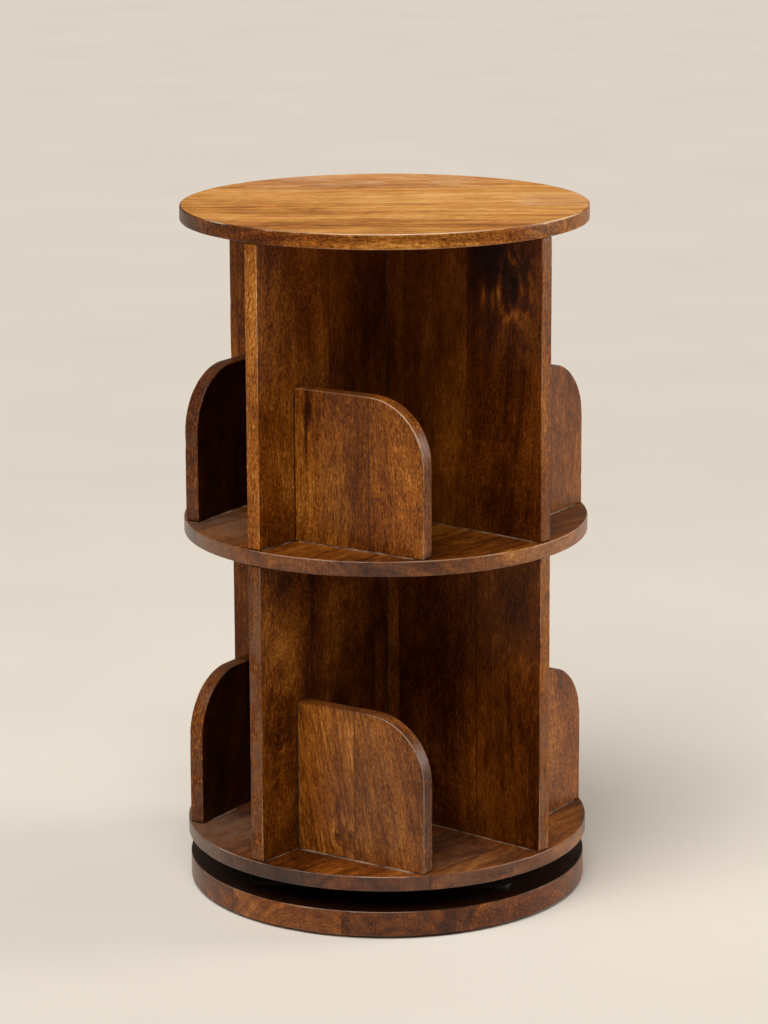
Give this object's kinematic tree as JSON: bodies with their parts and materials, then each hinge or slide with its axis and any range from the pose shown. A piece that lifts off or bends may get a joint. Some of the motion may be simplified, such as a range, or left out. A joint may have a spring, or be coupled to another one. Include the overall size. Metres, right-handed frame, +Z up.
{
  "type": "revolving bookcase",
  "caption": "Round revolving bookcase of dark wood: stacked discs, crossed partitions and low rounded book stops, turning on a ball swivel above a round base.",
  "frame": {"origin": "on the floor, on the vertical turning axis", "axes": "+Z up along the turning axis; at rest the long partitions lie along Y and the short ones along X"},
  "size_m": [0.3999, 0.4, 0.6835],
  "materials": {
    "stained_wood": "dark walnut stain under satin lacquer",
    "dowel_wood": "bare beech",
    "felt": "dark pressed felt",
    "swivel_steel": "black paint, semi-matt",
    "ball_steel": "polished",
    "screw_steel": "zinc plated",
    "cage_plastic": "natural nylon"
  },
  "bodies": {
    "base": {"base_disc": "stained_wood", "floor_pad_front": "felt", "floor_pad_right": "felt", "floor_pad_back": "felt", "floor_pad_left": "felt", "swivel_lower_plate": "swivel_steel", "swivel_lower_screws": "screw_steel", "swivel_pin": "screw_steel", "swivel_washer": "screw_steel", "swivel_retaining_ring": "screw_steel"},
    "ball_ring": {"swivel_balls": "ball_steel", "swivel_cage": "cage_plastic"},
    "carousel": {"lower_shelf": "stained_wood", "middle_shelf": "stained_wood", "top_disc": "stained_wood", "lower_long_partition": "stained_wood", "lower_short_partition_right": "stained_wood", "lower_short_partition_left": "stained_wood", "lower_stop_front": "stained_wood", "lower_stop_right": "stained_wood", "lower_stop_back": "stained_wood", "lower_stop_left": "stained_wood", "upper_long_partition": "stained_wood", "upper_short_partition_right": "stained_wood", "upper_short_partition_left": "stained_wood", "upper_stop_front": "stained_wood", "upper_stop_right": "stained_wood", "upper_stop_back": "stained_wood", "upper_stop_left": "stained_wood", "top_dowels": "dowel_wood", "middle_dowels": "dowel_wood", "lower_cross_dowels": "dowel_wood", "upper_cross_dowels": "dowel_wood", "lower_stop_dowels": "dowel_wood", "upper_stop_dowels": "dowel_wood", "lower_shelf_screws": "screw_steel", "swivel_upper_screws": "screw_steel", "swivel_upper_plate": "swivel_steel"}
  },
  "joints": [
    {"name": "carousel_turn", "type": "hinge", "parent": "base", "child": "carousel", "pos_m": [0, 0, 0.038], "axis": [0, 0, 1], "continuous": true},
    {"name": "ball_ring_turn", "type": "hinge", "parent": "base", "child": "ball_ring", "pos_m": [0, 0, 0.038], "axis": [0, 0, 1], "continuous": true}
  ],
  "couplings": [
    {"joint": "ball_ring_turn", "follows": "carousel_turn", "ratio": 0.5}
  ]
}
